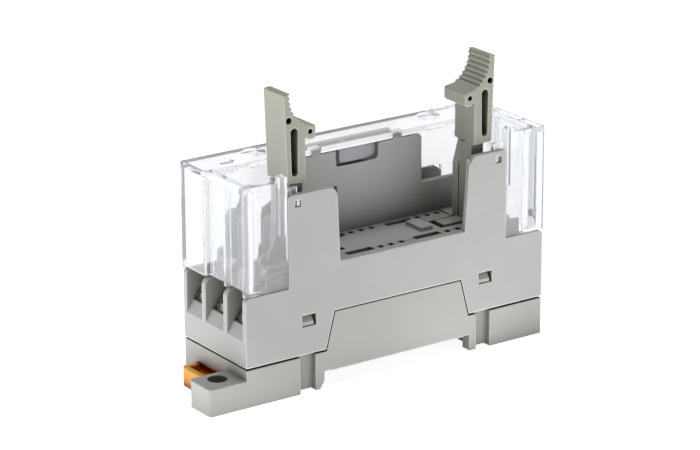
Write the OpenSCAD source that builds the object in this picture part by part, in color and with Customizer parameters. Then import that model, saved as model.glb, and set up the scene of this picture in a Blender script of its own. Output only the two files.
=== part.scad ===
// Relay socket for a 35 mm rail: a slim two-part housing with an open relay bay, two ejector
// levers that clip over the relay, a clear snap-on terminal cover and a spring-loaded rail slider.
// X runs along the socket, across the rail. Y runs along the rail, with the front side at -Y.
// Z points away from the mounting panel. The origin is on the face that seats on the rail,
// midway between the two rail edges and midway across the width.

/* [Housing] */
// Length of the upper housing
case_l = 71.7; // [69:0.1:76]
// Width of the socket along the rail
case_w = 22.5; // [22.1:0.1:24]
// Thickness of the upper housing's walls
wall = 1.1; // [0.9:0.05:1.2]
// Thickness of the lower housing's walls
base_wall = 1.4; // [1.1:0.05:1.6]
// Height of the joint between the two housings
part_z = 4.7; // [4.2:0.1:4.9]
// Width of the gap that shows at that joint
part_gap = 0.25; // [0.15:0.05:0.4]
// Width of that gap at the two ends
end_gap = 0.45; // [0.3:0.05:0.5]
// Height of the shoulders over the terminals
shoulder_z = 19; // [18.8:0.1:19.6]
// Height of the rear side wall behind the bay
rear_z = 29.1; // [27:0.1:31]
// Distance of the rear wall's raised part from the middle
rear_x = 26.1; // [25.6:0.1:26.6]
// Height of the towers beside the bay
tower_z = 37.75; // [36.5:0.05:38.2]
// Outer edge of the left tower from the middle
tower_l = 25.9; // [25.5:0.1:26.1]
// Outer edge of the right tower from the middle
tower_r = 26.5; // [26.3:0.1:27]

/* [Relay bay] */
// Height of the bay floor, flush with the sill in the front wall
floor_z = 22.35; // [22.2:0.05:22.6]
// Width of the bay, for a relay 13 mm wide
bay_w = 13.1; // [12.9:0.1:13.4]
// Left end of the opening in the front wall, at the sill
sill_l = 13.8; // [12:0.1:15]
// Right end of the opening in the front wall, at the sill
sill_r = 16.35; // [15:0.1:17.5]
// How far the opening widens on the right up to the tower tops
flare_r = 1.15; // [0:0.05:1.5]
// How far the opening widens on the left up to the tower tops
flare_l = 0.7; // [0:0.05:1.5]
// Height of the tall part of the wall behind the bay
back_z = 39.45; // [38:0.05:39.5]
// Half length of the tall part of that wall
back_x = 15.8; // [13:0.1:18]
// Half length of the light window's pocket in that wall
pocket_x = 5.2; // [4.8:0.1:6]
// Depth of that pocket from the wall's top
pocket_d = 3.4; // [2.8:0.1:3.6]
// Height of the pads that the relay stands on
pad_h = 0.85; // [0.55:0.05:0.9]
// Distance between the two rows of contact slots
row_pitch = 10.4; // [10.16:0.02:10.5]
// Distance of the front row from the bay's front face
row_in = 1.4; // [1.35:0.05:1.6]

/* [Terminals] */
// Height of the lower terminals' seats
seat_lo = 11.6; // [11.4:0.1:11.8]
// Height of the upper terminals' seats
seat_hi = 18.6; // [18.4:0.1:18.8]
// Distance of the lower screws from the middle
screw_lo_x = 31.8; // [31.7:0.1:32.3]
// Distance of the upper screws from the middle
screw_hi_x = 28.7; // [28.6:0.1:28.8]
// Thickness of the dividers between the lower terminals
divider_t = 1.25; // [1:0.05:1.4]
// Radius of the screw thread
screw_r = 1.5; // [1.4:0.05:1.6]
// Radius of the screw heads
head_r = 2.45; // [2.2:0.05:2.6]
// Thickness of the contact strips
strip_t = 0.8; // [0.6:0.05:0.9]

/* [Rail foot] */
// Width of the rail that the foot takes, edge to edge
rail_w = 35; // [34.8:0.1:35.2]
// Depth of the rail slot
rail_d = 3.4; // [3.2:0.1:3.8]
// Thickness of the rail's edge that the hooks grip
rail_t = 1; // [0.9:0.05:1.2]
// Length of the fixing tabs beyond the lower housing
tab_l = 8.45; // [7.8:0.05:10]
// Width of the fixing tabs
tab_w = 7.45; // [7.3:0.05:8]
// Height of the fixing tabs
tab_h = 5.55; // [4.5:0.05:6]
// Radius of the fixing holes
fix_r = 2.05; // [1.9:0.05:2.2]
// Travel of the rail slider
slide_travel = 2.6; // [2.2:0.1:2.8]
// Width of the rail slider
slider_w = 9.6; // [9:0.1:10]

/* [Ejector levers] */
// Distance of the lever pivots from the middle
pivot_x = 22.3; // [22.1:0.1:22.5]
// Height of the lever pivots
pivot_z = 20.6; // [20.4:0.1:20.8]
// Radius of the pivot trunnions
trunnion_r = 1.3; // [1.1:0.05:1.4]
// Radial running clearance of the trunnions
run_gap = 0.05; // [0.03:0.01:0.08]
// Inner face of the levers from the middle, for a relay 40 mm long
lever_in = 20.2; // [20.1:0.05:20.4]
// Height of the levers' tips
lever_z = 57.2; // [57:0.1:58]
// Width of the levers' handles
handle_w = 7; // [6.4:0.05:7.1]
// Width of the levers' necks
neck_w = 3.85; // [3.4:0.05:4]
// Height of the beaks' undersides, just over the relay
beak_z = 47.4; // [47.2:0.1:48]
// Number of ridges on each thumb rest
ridges = 8; // [5:1:10]

/* [Clear cover] */
// Height of the cover's top
cover_z = 41; // [40.9:0.1:42]
// Thickness of the cover's top
cover_t = 1.3; // [1.1:0.05:1.4]
// Thickness of the cover's side walls
cover_wall = 0.9; // [0.7:0.05:0.95]
// Seating gap under the cover's edges
cover_gap = 0.15; // [0.1:0.05:0.25]

/* [Hidden] */
side = ["left", "right"];
eps = 0.01;
$fn = 48;

case_grey = [0.75, 0.745, 0.735];
base_grey = [0.73, 0.725, 0.705];
lever_olive = [0.66, 0.65, 0.58];
slider_orange = [0.93, 0.6, 0.2];
clear_plastic = [0.86, 0.9, 0.95, 0.35];
plated_steel = [0.6, 0.6, 0.62];
brass_yellow = [0.8, 0.66, 0.35];
board_green = [0.2, 0.42, 0.28];

front = -case_w / 2;
back = case_w / 2;
end_x = case_l / 2;
// Sideways distance between neighbouring lower screws
screw_pitch = case_w / 3;
// Half widths of the contact strips and of the terminal pads with their clamps
strip_half = 0.14 * screw_pitch;
terminal_half = 0.28 * screw_pitch;
// Inner faces of the upper housing's side walls
in_front = front + wall;
in_back = back - wall;
// The bay lies against the front wall, and its back wall closes it
bay_back = in_front + bay_w;
bay_mid = in_front + bay_w / 2;
row_front = in_front + row_in;
row_back = row_front + row_pitch;
// The outline of the joint between the housings rises to a plateau in the middle
plateau_foot = [-17.05, 17.2];
plateau_top = [-15, 15.2];
plateau_z = 12.15;
// The wall at the inner end of the terminals
inner_x = 26.2;
inner_t = 1.2;
inner_z = pivot_z + 0.5;
// The ramp under the lower wires
lip_z = 9.95;
crest_x = end_x - 1.45;
crest_z = seat_lo + 0.8;
crest_t = 0.6;
platform_t = 1.4;
// Snap windows in the side walls, and the latches on the lower housing
latch_x = [-21.2, 21.5];
latch_z = [10.45, 12.85];
latch_w = 3.3;
// The latch arms rise from recesses in the lower housing's sides
strip_x = [[-23.4, -19.75], [19.25, 22.75]];
strip_d = 1.25;
arm_t = 0.0533 * case_w;
barb_x = [-1.5, 1.1];
barb_lip = 0.65;
// Windows near the tower tops, where the cover's clips catch
clip_x = [-23.6, 24.6];
clip_z = 35.9;
clip_w = 1.4;
// Ribs inside the front wall that steady the cover
cover_rib_x = 30.4;
cover_rib_z = 22.3;
// The lever's neck runs between the front wall and the guide wall
handle_y = front + 2.35;
handle_x = [4.2, 4.85];
handle_l = 18.1;
neck_y = front + 3.5;
guide_y = front + 8.25;
guide_t = 1.75;
guide_x = 20.5;
trunnion_pad = 1;
pad_r = 2.35;
lever_boss_r = 2.2;
lever_thick = 2.6;
foot_w = 3.1;
foot_in = 1.35;
foot_y = neck_y + foot_in;
foot_top = floor_z + 0.5;
foot_t = 1.75;
foot_tip = 14.7;
// The thumb rest is an arc of ridges, and the beak's top falls away from it
rest_r = 6.57;
rest_in = 3.14;
rest_down = 0.65;
rest_start = 5.65;
rest_sweep = 62.5;
ridge_d = 0.45;
beak_l = 2.35;
beak_h = 2.72;
beak_root = [0.18, 6.64];
// The long pocket and the small bores in the handle's side
slot_top = [2.55, 7.8, 0.85];
slot_end = [2.5, 15.9, 0.7];
slot_floor = 1.6;
bore_hi = [3.75, 5.3, 0.65];
bore_lo = [-1.15, 1.6, 0.52];
bore_d = 5.5;
// Contact slots come in groups of three with a long slot between the groups
group_pitch = 16.3;
slot_pitch = 2.5;
slot_w = 1.4;
slot_l = 1.2;
long_slot_w = 1.3;
long_slot_in = 0.5;
long_slot_l = 6.4;
long_slot_x = 8.9;
block_t = 4.1;
block_x = 19.85;
block_gap = 0.1;
skin_t = 1;
pad_x = [[9.2, 12], [-13.2, -10.45]];
pad_y = [3.95, 9.2];
key_hole = [-9.6, 4.8];
foot_pocket_x = 13.9;
foot_well = 3;
// The channel behind the bay holds the board
channel_floor = 18;
board_t = 1.2;
board_x = 11;
channel_w = in_back - bay_back - wall;
board_y = bay_back + wall + 0.6 * (channel_w - board_t);
lens_x = [-4.1, 2.8];
led_x = -0.8;
led_z = back_z - 1.65;
led_r = 1.2;
// The foot
seat_x = 17.7;
base_end = end_x - 0.1;
foot_z = -rail_d;
hook_z = -rail_t - 0.15;
hook_reach = 1.5;
block_in = 22.75;
plate_t = 1.55;
hook_w = 6;
hook_depth = 2.4;
seat_relief = 0.15;
slider_y = front + 13.25;
slider_gap = 0.15;
slider_end = 39.6;
slider_top = 0.5;
slider_flange = 0.9;
slider_round = 1.3;
// Recesses under the right end
recess_pitch = 6.6;
recess_w = 5.2;
// Bores and slots in the cover's top, and the thick round of its upright front corners
cover_bore = [21.2, 19.3, 2.45];
cover_slot_x = 9.8;
cover_notch_x = 29;
cover_notch_y = [16.6, 18.4];
cover_round = 4;
cover_in = 2.1;

// Contacts on one end: slot's place in its group, row, height of the run, tier, sideways place
CONTACTS = [
    [1, 1, 0, seat_lo, 0, -1],
    [1, -1, 0, seat_lo - 3.2, 1, -0.5],
    [1, 1, 1, seat_lo, 0, 1],
    [1, -1, 1, seat_lo - 3.2, 1, 0.5],
    [0, 1, 1, seat_lo - 6.4, 0, 0]
];
function slot_x(c) = c[0] * group_pitch + c[1] * slot_pitch;
function slot_y(c) = c[2] == 0 ? row_front : row_back;
function screw_x(c) = c[4] == 0 ? screw_lo_x : screw_hi_x;
function screw_y(c) = c[5] * screw_pitch;
function seat_z(c) = c[4] == 0 ? seat_lo : seat_hi;

// Extrudes an X-Z outline from y0 to y1
module xz(y0, y1) {
    translate([0, y1, 0]) rotate([90, 0, 0]) linear_extrude(y1 - y0) children();
}

// Extrudes a Y-Z outline from x0 to x1
module yz(x0, x1) {
    translate([x0, 0, 0]) rotate([90, 0, 90]) linear_extrude(x1 - x0) children();
}

// A block between two corners
module block(x, y, z) {
    translate([x[0], y[0], z[0]]) cube([x[1] - x[0], y[1] - y[0], z[1] - z[0]]);
}

// A rectangle between two corners
module rect(x, y) {
    translate([x[0], y[0]]) square([x[1] - x[0], y[1] - y[0]]);
}

// A round bar along Y
module bar_y(x, z, r, y0, y1) {
    translate([x, y0, z]) rotate([-90, 0, 0]) cylinder(r = r, h = y1 - y0);
}

// What a fillet removes at the outer corner p, which points towards (sx, sy)
module corner(p, r, sx, sy) {
    translate(p) scale([1, 1]) mirror([sx < 0 ? 1 : 0, 0]) mirror([0, sy < 0 ? 1 : 0])
        difference() {
            translate([-r, -r]) square([r + eps, r + eps]);
            translate([-r, -r]) circle(r);
        }
}

// Repeats what is drawn for the right end at the left end
module both_ends() {
    children();
    mirror([1, 0, 0]) children();
}

// Turns what is drawn for one corner to the opposite one
module both_corners() {
    children();
    rotate([0, 0, 180]) children();
}

// The plateau of the lower housing, grown by a gap
module plateau(g, z0) {
    polygon([
        [plateau_foot[0] - g, z0], [plateau_top[0] - g, plateau_z + g],
        [plateau_top[1] + g, plateau_z + g], [plateau_foot[1] + g, z0]
    ]);
}

// Front side of the upper housing, with both towers and the sill
module front_outline() {
    difference() {
        polygon([
            [-end_x, part_z], [end_x, part_z], [end_x, shoulder_z], [tower_r, shoulder_z],
            [tower_r, tower_z], [sill_r + flare_r, tower_z], [sill_r, floor_z],
            [-sill_l, floor_z], [-sill_l - flare_l, tower_z], [-tower_l, tower_z],
            [-tower_l, shoulder_z], [-end_x, shoulder_z]
        ]);
        plateau(part_gap, part_z - eps);
        corner([sill_r + flare_r, tower_z], 1.9, -1, 1);
        corner([-sill_l - flare_l, tower_z], 1.9, 1, 1);
        corner([tower_r, tower_z], 0.7, 1, 1);
        corner([-tower_l, tower_z], 0.7, -1, 1);
        corner([end_x, shoulder_z], 1.1, 1, 1);
        corner([-end_x, shoulder_z], 1.1, -1, 1);
    }
}

// Rear side of the upper housing
module rear_outline() {
    difference() {
        polygon([
            [-end_x, part_z], [end_x, part_z], [end_x, shoulder_z], [rear_x, shoulder_z],
            [rear_x, rear_z], [-rear_x, rear_z], [-rear_x, shoulder_z], [-end_x, shoulder_z]
        ]);
        plateau(part_gap, part_z - eps);
        for (s = [-1, 1]) {
            corner([s * rear_x, rear_z], 2.2, s, 1);
            corner([s * end_x, shoulder_z], 1.1, s, 1);
        }
    }
}

// Wall behind the bay, tall in the middle, with the light's pocket in its top
module back_outline() {
    difference() {
        union() {
            rect([-back_x, back_x], [seat_lo + 2.4, back_z]);
            rect([-inner_x, inner_x], [seat_lo + 2.4, rear_z]);
        }
        for (s = [-1, 1]) corner([s * back_x, back_z], 1, s, 1);
    }
}

// The pocket, with round lower corners
module pocket_outline(x) {
    difference() {
        rect(x, [back_z - pocket_d, back_z + 1]);
        corner([x[0], back_z - pocket_d], 0.95, -1, -1);
        corner([x[1], back_z - pocket_d], 0.95, 1, -1);
    }
}

// End wall, ramp and platform of the lower terminals on the right
module ramp_outline() {
    polygon([
        [end_x, part_z], [end_x, lip_z], [crest_x, crest_z], [crest_x - crest_t, crest_z],
        [crest_x - crest_t, seat_lo], [inner_x, seat_lo], [inner_x, seat_lo - platform_t],
        [end_x - wall - 0.2, seat_lo - platform_t], [end_x - wall - 0.2, part_z]
    ]);
}

// Divider between two lower terminals
module divider_outline() {
    difference() {
        polygon([
            [inner_x - eps, seat_lo - platform_t], [end_x - wall, seat_lo - platform_t],
            [end_x, lip_z - 1], [end_x, shoulder_z], [31.5, shoulder_z], [31.5, seat_hi],
            [inner_x - eps, seat_hi]
        ]);
        corner([end_x, shoulder_z], 1.8, 1, 1);
    }
}

// Separator beside an upper terminal
module separator_outline() {
    difference() {
        rect([inner_x - eps, 29.6], [seat_hi - platform_t, inner_z + 1.9]);
        corner([29.6, inner_z + 1.9], 1.2, 1, 1);
    }
}

// Guide wall behind the lever's neck. Its outer edge sweeps out to the terminals' wall.
module guide_outline() {
    sweep_r = 8;
    difference() {
        polygon([
            [guide_x, seat_lo + 2.4], [inner_x, seat_lo + 2.4], [inner_x, rear_z],
            [inner_x, tower_z], [guide_x + 3, tower_z + 0.7], [guide_x + 1.3, tower_z + 0.7],
            [guide_x, tower_z - 4.2]
        ]);
        rect([guide_x + 3, inner_x + 1], [inner_z + sweep_r, tower_z + 2]);
        translate([guide_x + 3 + sweep_r, inner_z + sweep_r]) circle(sweep_r);
    }
}

// Everything at the right end of the upper housing
module case_end() {
    xz(in_front - eps, in_back + eps) ramp_outline();
    for (s = [-0.52, 0.52])
        xz(s * screw_pitch - divider_t / 2, s * screw_pitch + divider_t / 2) divider_outline();
    block([inner_x - inner_t, inner_x], [in_front - eps, in_back + eps], [seat_hi - 2.4, inner_z]);
    block([inner_x - eps, 29.3], [in_front - eps, in_back + eps], [seat_hi - platform_t, seat_hi]);
    for (s = [-1, 0, 1]) xz(s * screw_pitch - 0.5, s * screw_pitch + 0.5) separator_outline();
    for (s = [-0.5, 0.5]) translate([screw_hi_x, s * screw_pitch, 0]) {
        translate([0, 0, seat_hi - platform_t]) cylinder(r = head_r + 0.1, h = platform_t);
        translate([0, 0, seat_lo + 2.4]) cylinder(r = head_r - 0.3, h = seat_hi - seat_lo - 2.4);
    }
    block([inner_x - 0.2, cover_rib_x], [in_front - eps, in_front + 0.9], [shoulder_z - 2, cover_rib_z]);
    xz(guide_y, guide_y + guide_t) guide_outline();
    bar_y(pivot_x, pivot_z, pad_r, in_front - eps, in_front + trunnion_pad);
    block([guide_x, inner_x], [guide_y + eps, bay_back + eps], [floor_z - 1.2, floor_z]);
}

// What is cut from the right end of the upper housing
module case_end_cuts() {
    for (s = [-1, 0, 1]) translate([screw_lo_x, s * screw_pitch, seat_lo - platform_t - 1])
        cylinder(r = screw_r + 0.05, h = platform_t + 2);
    for (s = [-0.5, 0.5]) {
        translate([screw_hi_x, s * screw_pitch, seat_lo + 2.7])
            cylinder(r = screw_r + 0.05, h = seat_hi - seat_lo);
        block([inner_x - eps, inner_x + strip_t + 0.3],
            [s * screw_pitch - 1.3, s * screw_pitch + 1.3], [seat_lo - platform_t - 1, seat_hi + eps]);
    }
    bar_y(pivot_x, pivot_z, trunnion_r + run_gap, in_front + 0.05, in_front + trunnion_pad + 1);
    bar_y(pivot_x, pivot_z, trunnion_r + run_gap, guide_y - 1, guide_y + guide_t + 1);
}

module case() {
    color(case_grey) difference() {
        union() {
            xz(front, in_front) front_outline();
            xz(in_back, back) rear_outline();
            both_ends() case_end();
            xz(bay_back, bay_back + wall) back_outline();
            block([-6, 6], [bay_back + wall - eps, bay_back + wall + 0.8], [back_z - 5.5, back_z]);
            for (s = [-1, 1]) block([s * cover_slot_x - 1, s * cover_slot_x + 1],
                [bay_back + 0.05, bay_back + wall - 0.05], [back_z - 1, cover_z - 0.6]);
            for (s = [-1, 1]) block([min(s * inner_x, s * (inner_x - inner_t)),
                max(s * inner_x, s * (inner_x - inner_t))],
                [bay_back, in_back + eps], [seat_lo + 2.4, inner_z]);
            block([-inner_x, inner_x], [bay_back + wall - eps, in_back + eps],
                [channel_floor - 1.2, channel_floor]);
            block([-block_x, block_x], [in_front - eps, in_front + 0.5],
                [floor_z - block_t - 1.2, floor_z - block_t]);
            block([-block_x, block_x], [bay_back - 0.7, bay_back + eps],
                [floor_z - block_t - 1.2, floor_z - block_t]);
        }
        both_ends() case_end_cuts();
        xz(bay_back - 1, bay_back + wall) pocket_outline([-pocket_x, pocket_x]);
        bar_y(led_x, led_z, led_r + 0.15, bay_back, bay_back + wall + 2);
        for (x = latch_x, y = [front - 1, in_back - 1])
            block([x - latch_w / 2, x + latch_w / 2], [y, y + wall + 2], latch_z);
        for (x = clip_x) block([x - clip_w / 2, x + clip_w / 2], [front - 1, in_front + 1],
            [clip_z - 0.65, clip_z + 0.65]);
    }
}

// Front view of the lower housing
module base_outline() {
    top = part_z - part_gap;
    difference() {
        union() {
            rect([-base_end, base_end], [foot_z, part_z - end_gap]);
            rect(plateau_foot, [foot_z, top]);
            plateau(0, top - eps);
            translate([0, top - part_z]) plateau(0, part_z);
        }
        rect([-seat_x, seat_x], [foot_z - 1, 0]);
        for (s = [-1, 1]) rect([s * (seat_x - 0.8) - 0.8, s * (seat_x - 0.8) + 0.8], [-eps, seat_relief]);
        rect([strip_x[0][0], -seat_x + eps], [foot_z - 1, foot_z + 0.1]);
        rect([seat_x - eps, strip_x[1][1]], [foot_z - 1, foot_z + 0.1]);
        for (x = strip_x) rect(x, [foot_z - 1, foot_z + 0.35]);
        polygon([[-seat_x + eps, foot_z], [-seat_x - 1.1, foot_z], [-seat_x - 1.1, foot_z + 0.1],
            [-seat_x + eps, foot_z + 1.7]]);
    }
}

// A fixing tab with its hole at the left end, in front
module fixing_tab() {
    difference() {
        translate([0, 0, foot_z]) linear_extrude(tab_h) difference() {
            rect([-base_end - tab_l, -base_end + eps], [front, front + tab_w]);
            corner([-base_end - tab_l, front], 0.8, -1, -1);
            corner([-base_end - tab_l, front + tab_w], 0.8, -1, 1);
        }
        translate([-base_end - tab_l / 2 + 0.3, front + tab_w / 2 + 0.75, foot_z - 1])
            cylinder(r = fix_r, h = tab_h + 2);
    }
}

// A latch arm that snaps into a window of the upper housing's front side
module latch(i) {
    y = front + strip_d;
    lip = front + 0.2;
    block([strip_x[i][0] - 0.6, strip_x[i][1] + 0.6], [y, y + arm_t], [0, part_z - part_gap]);
    block([latch_x[i] - latch_w / 2, latch_x[i] + latch_w / 2], [y, y + arm_t], [0, latch_z[1] + 0.4]);
    yz(latch_x[i] + barb_x[0], latch_x[i] + barb_x[1]) polygon([
        [y + eps, latch_z[0] + 0.15], [lip, latch_z[0] + 0.15],
        [lip, latch_z[0] + 0.15 + barb_lip], [y + eps, latch_z[1] - 0.1]
    ]);
}

// The slider's channel in the lower housing
module slider_channel() {
    w = slider_w / 2 + slider_gap;
    block([-base_end - 1, -seat_x + 1], [slider_y - w, slider_y + w], [foot_z - 1, -0.15]);
    block([-base_end - 1, -block_in - 1], [slider_y - w - slider_flange, slider_y + w + slider_flange],
        [foot_z + 1.05, foot_z + 2.35]);
    block([-base_end - 1, -base_end + base_wall], [slider_y - w, slider_y + w],
        [foot_z - 1, slider_top + 0.15]);
}

module base() {
    color(base_grey) difference() {
        union() {
            difference() {
                xz(front, back) base_outline();
                block([-base_end + base_wall, base_end - base_wall],
                    [front + base_wall, back - base_wall], [base_wall, plateau_z + 2]);
                for (x = strip_x, y = [front - 1, back - strip_d])
                    block(x, [y, y + 1 + strip_d], [foot_z - 1, part_z]);
                block([seat_x - 1, seat_x + plate_t], [front + hook_depth, back - hook_depth],
                    [foot_z - 1, hook_z + 0.6]);
            }
            both_corners() fixing_tab();
            for (i = [0, 1]) {
                latch(i);
                mirror([0, 1, 0]) latch(i);
            }
            xz(slider_y - hook_w / 2, slider_y + hook_w / 2) polygon([
                [seat_x - hook_reach, foot_z + 0.35], [seat_x + plate_t + 0.3, foot_z + 0.35],
                [seat_x + plate_t + 0.3, hook_z], [seat_x - hook_reach, hook_z - 0.2]
            ]);
        }
        slider_channel();
        for (i = [0:2]) block([block_in + 1.6, base_end - 1.8],
            [front + 1.6 + i * recess_pitch, front + 1.6 + i * recess_pitch + recess_w - (i == 2 ? 0.2 : 0)],
            [foot_z - 1, 0]);
    }
}

// Slot openings of one group, three short and one long
module slot_group(g, y, depth) {
    for (i = [-1:1]) block([g * group_pitch + i * slot_pitch - slot_l / 2,
        g * group_pitch + i * slot_pitch + slot_l / 2], [y - slot_w / 2, y + slot_w / 2],
        [floor_z - depth, floor_z + 1]);
}

module contact_block() {
    color(case_grey) difference() {
        union() {
            block([-block_x, block_x], [in_front + block_gap, bay_back - block_gap],
                [floor_z - block_t, floor_z]);
            for (x = pad_x) block(x, [in_front + pad_y[0], in_front + pad_y[1]],
                [floor_z - eps, floor_z + pad_h]);
        }
        for (y = [row_front, row_back]) {
            for (g = [-1:1]) slot_group(g, y, skin_t + 0.3);
            for (s = [-1, 0]) block([long_slot_x + s * group_pitch - long_slot_l / 2,
                long_slot_x + s * group_pitch + long_slot_l / 2],
                [y - long_slot_w / 2 - (y == row_back ? long_slot_in : 0),
                y + long_slot_w / 2 + (y == row_front ? long_slot_in : 0)],
                [floor_z - skin_t - 0.6, floor_z + 1]);
            block([-block_x + 0.8, block_x - 0.8], [y - 0.12, y + 0.12], [floor_z - 0.35, floor_z + 1]);
        }
        block([key_hole[0] - slot_w / 2, key_hole[0] + slot_w / 2], [in_front + key_hole[1] - slot_w / 2,
            in_front + key_hole[1] + slot_w / 2], [floor_z - 2 * skin_t, floor_z + 1]);
        both_ends() {
            block([foot_pocket_x, block_x + 1], [foot_y - 0.2, foot_y + 4.7],
                [foot_top - foot_t - 0.15, floor_z + 1]);
            block([foot_pocket_x, foot_tip + 0.8], [foot_y - 0.2, foot_y + foot_w + 0.2],
                [floor_z - foot_well, floor_z]);
            for (c = CONTACTS) block([slot_x(c) - 0.8, slot_x(c) + 0.8],
                [slot_y(c) - 0.85, slot_y(c) + 0.85], [floor_z - block_t - 1, floor_z - skin_t]);
        }
        for (c = CONTACTS, s = [-1, 1]) block([s * slot_x(c) - slot_l / 2, s * slot_x(c) + slot_l / 2],
            [slot_y(c) - slot_w / 2, slot_y(c) + slot_w / 2], [floor_z - skin_t - 1, floor_z + 1]);
    }
}

// Stamped contact at the right end: fork under a slot, run, riser and terminal tongue
module contact_strip(c) {
    sx = slot_x(c);
    sy = slot_y(c);
    ty = screw_y(c);
    run_z = c[3];
    rise_x = c[4] == 1 ? inner_x + 0.15 : inner_x - inner_t - 0.9;
    run_end = run_z == seat_z(c) ? screw_lo_x : rise_x + strip_t;
    color(brass_yellow) difference() {
        union() {
            block([sx - 0.7, sx + 0.7], [sy - 0.58, sy + 0.58], [run_z, floor_z - skin_t - 0.2]);
            translate([0, 0, run_z]) linear_extrude(strip_t) {
                rect([sx - 0.7, sx + 0.7],
                    [min(sy - 0.58, ty - strip_half), max(sy + 0.58, ty + strip_half)]);
                rect([sx - 0.7, run_end], [ty - strip_half, ty + strip_half]);
            }
            block([rise_x, rise_x + strip_t], [ty - strip_half, ty + strip_half],
                [run_z, seat_z(c) + strip_t]);
            block([rise_x, screw_x(c) + (c[4] == 0 ? 1.4 : 2.2)], [ty - strip_half, ty + strip_half],
                [seat_z(c), seat_z(c) + strip_t]);
            block([screw_x(c) - terminal_half, screw_x(c) + (c[4] == 0 ? 1.4 : terminal_half)],
                [ty - terminal_half, ty + terminal_half], [seat_z(c), seat_z(c) + strip_t]);
        }
        block([sx - 1, sx + 1], [sy - 0.25, sy + 0.25], [run_z + 3, floor_z]);
        translate([screw_x(c), ty, seat_z(c) - 1]) cylinder(r = screw_r + 0.05, h = strip_t + 2);
    }
}

// Square wire clamp under a terminal screw, with turned-up sides
module clamp_plate(c) {
    z = seat_z(c) + strip_t;
    half = terminal_half;
    color(plated_steel) translate([screw_x(c), screw_y(c), z]) difference() {
        union() {
            translate([-half, -half, 0]) cube([2 * half, 2 * half, 0.8]);
            for (s = [-1, 1]) translate([-half, s * (half - 0.2) - 0.2, 0]) cube([2 * half, 0.4, 1.3]);
        }
        translate([0, 0, -1]) cylinder(r = screw_r + 0.05, h = 3);
        translate([0, 0, 0.8]) cylinder(r = head_r + 0.1, h = 2);
    }
}

// Terminal screw with a slotted cross recess
module screw(c) {
    z = seat_z(c) + strip_t + 0.8;
    head_h = 2;
    color(plated_steel) translate([screw_x(c), screw_y(c), z]) difference() {
        union() {
            rotate_extrude() polygon([
                [0, -5.6], [screw_r - 0.3, -5.6], [screw_r, -5.2], [screw_r, 0], [head_r, 0],
                [head_r, head_h - 0.6], [head_r - 0.5, head_h - 0.1], [head_r - 1.2, head_h], [0, head_h]
            ]);
        }
        translate([-head_r - 1, -0.35, head_h - 0.8]) cube([2 * head_r + 2, 0.7, 2]);
        translate([-0.35, -1.4, head_h - 1.1]) cube([0.7, 2.8, 2]);
    }
}

// One of the ten terminal positions: the first five are on the right, the others on the left
module terminal_place(i) {
    if (i < 5) children();
    else mirror([1, 0, 0]) children();
}

// Side view of the right lever's handle, with its beak and ridged thumb rest
module handle_outline() {
    cx = lever_in - rest_in;
    cz = lever_z - rest_down;
    tip_x = lever_in - beak_l;
    step = rest_sweep / (ridges - 1);
    valley_r = rest_r + ridge_d;
    difference() {
        polygon(concat(
            [[lever_in, lever_z - handle_l], [lever_in + handle_x[0], lever_z - handle_l + 0.2],
                [lever_in + handle_x[1], lever_z - 0.2],
                [cx + rest_r * cos(rest_start), cz + rest_r * sin(rest_start)]],
            [for (i = [1:ridges - 1], a = [[rest_start - (i - 0.7) * step, valley_r],
                [rest_start - i * step, rest_r]]) [cx + a[1] * cos(a[0]), cz + a[1] * sin(a[0])]],
            [[lever_in + beak_root[0], lever_z - beak_root[1]], [tip_x, beak_z + beak_h],
                [tip_x, beak_z + 0.45], [tip_x + 0.4, beak_z], [lever_in - 0.9, beak_z],
                [lever_in, beak_z + 0.6]]
        ));
        corner([tip_x, beak_z + beak_h], 0.3, -1, 1);
    }
}

// The long pocket in the handle's side, wider at its top
module pocket_slot() {
    for (p = [slot_top, slot_end]) translate([lever_in + p[0], lever_z - p[1]]) circle(p[2]);
    polygon([for (p = [slot_top, slot_end], s = p == slot_top ? [-1, 1] : [1, -1])
        [lever_in + p[0] + s * p[2], lever_z - p[1]]]);
}

// Right ejector lever at rest
module lever() {
    neck_end = neck_y + neck_w;
    handle_end = handle_y + handle_w;
    handle_z = lever_z - handle_l;
    color(lever_olive) difference() {
        union() {
            xz(handle_y, handle_end) handle_outline();
            block([lever_in + 0.6, lever_in + 3.6], [handle_end - eps, handle_end + 0.5],
                [handle_z + 0.1, handle_z + 1.1]);
            xz(neck_y, neck_end) polygon([
                [lever_in, pivot_z], [lever_in + lever_thick, pivot_z],
                [lever_in + lever_thick + 0.5, handle_z + 0.3], [lever_in, handle_z + 0.3]
            ]);
            bar_y(pivot_x, pivot_z, lever_boss_r, in_front + trunnion_pad + 0.2, guide_y - 0.2);
            bar_y(pivot_x, pivot_z, trunnion_r, in_front + 0.2, guide_y + guide_t - 0.2);
            block([foot_tip, pivot_x], [foot_y, foot_y + foot_w], [foot_top - foot_t, foot_top]);
        }
        xz(handle_y - 1, handle_end - slot_floor) pocket_slot();
        bar_y(lever_in + bore_hi[0], lever_z - bore_hi[1], bore_hi[2], handle_y - 1, handle_y + bore_d);
        bar_y(lever_in + bore_lo[0], beak_z + bore_lo[1], bore_lo[2], handle_y - 1, handle_y + bore_d);
        block([lever_in - 1, lever_in + 0.35], [handle_y + 3, handle_end + 1], [handle_z - 0.1, beak_z - 0.2]);
    }
}

module lever_right() { lever(); }

module lever_left() { mirror([1, 0, 0]) lever(); }

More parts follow.
